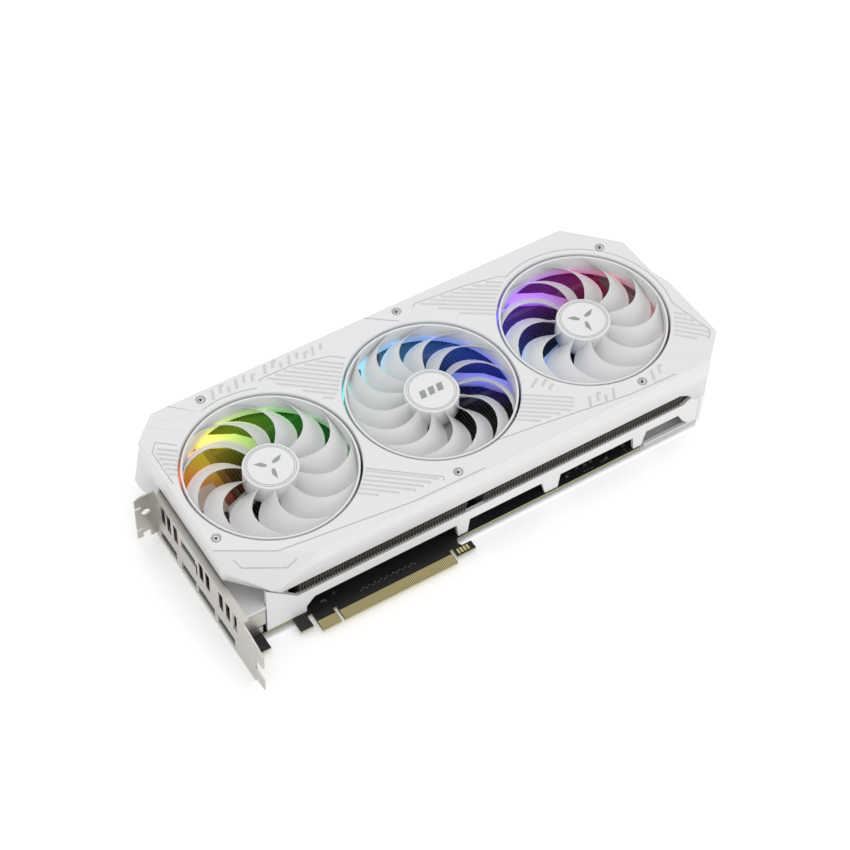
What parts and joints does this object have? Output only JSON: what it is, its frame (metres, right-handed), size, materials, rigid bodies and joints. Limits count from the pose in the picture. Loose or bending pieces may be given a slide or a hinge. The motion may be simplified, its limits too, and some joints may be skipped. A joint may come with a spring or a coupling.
{
  "type": "graphics card",
  "caption": "White graphics card with ducted cooling fans, finned heatsink, slot bracket with display sockets and a gold edge connector.",
  "frame": {"origin": "centre of the footprint, on the outer face of the backplate", "axes": "+X from the slot bracket to the far end, +Y from the edge connector to the far edge, +Z from the backplate to the fans"},
  "size_m": [0.33, 0.156, 0.0578],
  "materials": {
    "white_plastic": "satin moulded white",
    "white_metal": "satin white coat",
    "board_black": "black solder mask",
    "bracket_steel": "brushed",
    "socket_steel": "pressed",
    "contact_gold": "gold plated",
    "chip_black": "moulded",
    "cooler_copper": "nickel-plated copper",
    "fin_metal": "dark coated fins",
    "stator_grey": "moulded",
    "rotor_white": "satin moulded white",
    "screw_steel": "bright",
    "light_diffuser": "milky diffuser",
    "connector_black": "moulded",
    "lever_white": "moulded"
  },
  "bodies": {
    "card": {"backplate": "white_metal", "choke_row_1": "chip_black", "choke_row_2": "chip_black", "circuit_board": "board_black", "cold_plate": "cooler_copper", "contacts_long_back": "contact_gold", "contacts_long_top": "contact_gold", "contacts_short_back": "contact_gold", "contacts_short_top": "contact_gold", "displayport_1": "socket_steel", "displayport_2": "socket_steel", "displayport_3": "socket_steel", "end_frame": "white_plastic", "fan_shroud": "white_plastic", "fan_stator_1": "stator_grey", "fan_stator_2": "stator_grey", "fan_stator_3": "stator_grey", "fin_stack_1": "fin_metal", "fin_stack_2": "fin_metal", "gpu_package": "chip_black", "hdmi_1": "socket_steel", "hdmi_2": "socket_steel", "heat_pipe_1": "cooler_copper", "heat_pipe_2": "cooler_copper", "heat_pipe_3": "cooler_copper", "heat_pipe_4": "cooler_copper", "heat_pipe_5": "cooler_copper", "heat_pipe_6": "cooler_copper", "io_bracket": "bracket_steel", "light_bar_1": "light_diffuser", "light_bar_2": "light_diffuser", "light_bar_3": "light_diffuser", "memory_chips": "chip_black", "power_socket_1": "connector_black", "power_socket_2": "connector_black", "power_socket_3": "connector_black", "shroud_screw_1": "screw_steel", "shroud_screw_2": "screw_steel", "shroud_screw_3": "screw_steel", "shroud_screw_4": "screw_steel", "shroud_screw_5": "screw_steel", "shroud_screw_6": "screw_steel", "side_frame_far": "white_plastic", "side_frame_near": "white_plastic", "socket_deck": "white_plastic", "spring_plate": "screw_steel", "spring_screw_1": "screw_steel", "spring_screw_2": "screw_steel", "spring_screw_3": "screw_steel", "spring_screw_4": "screw_steel", "switch_body": "connector_black"},
    "switch_lever": {"switch_lever": "lever_white"},
    "fan_1": {"fan_rotor_1": "rotor_white", "fan_shaft_1": "screw_steel"},
    "fan_2": {"fan_rotor_2": "rotor_white", "fan_shaft_2": "screw_steel"},
    "fan_3": {"fan_rotor_3": "rotor_white", "fan_shaft_3": "screw_steel"}
  },
  "joints": [
    {"name": "fan_1_spin", "type": "hinge", "parent": "card", "child": "fan_1", "pos_m": [-0.09663, 0.01283, 0.0488], "axis": [0, 0, 1], "continuous": true},
    {"name": "fan_2_spin", "type": "hinge", "parent": "card", "child": "fan_2", "pos_m": [0.00456, 0.01283, 0.0488], "axis": [0, 0, 1], "continuous": true},
    {"name": "fan_3_spin", "type": "hinge", "parent": "card", "child": "fan_3", "pos_m": [0.10576, 0.01283, 0.0488], "axis": [0, 0, 1], "continuous": true},
    {"name": "switch_slide", "type": "slide", "parent": "card", "child": "switch_lever", "axis": [1, 0, 0], "range_m": [0, 0.002]}
  ]
}
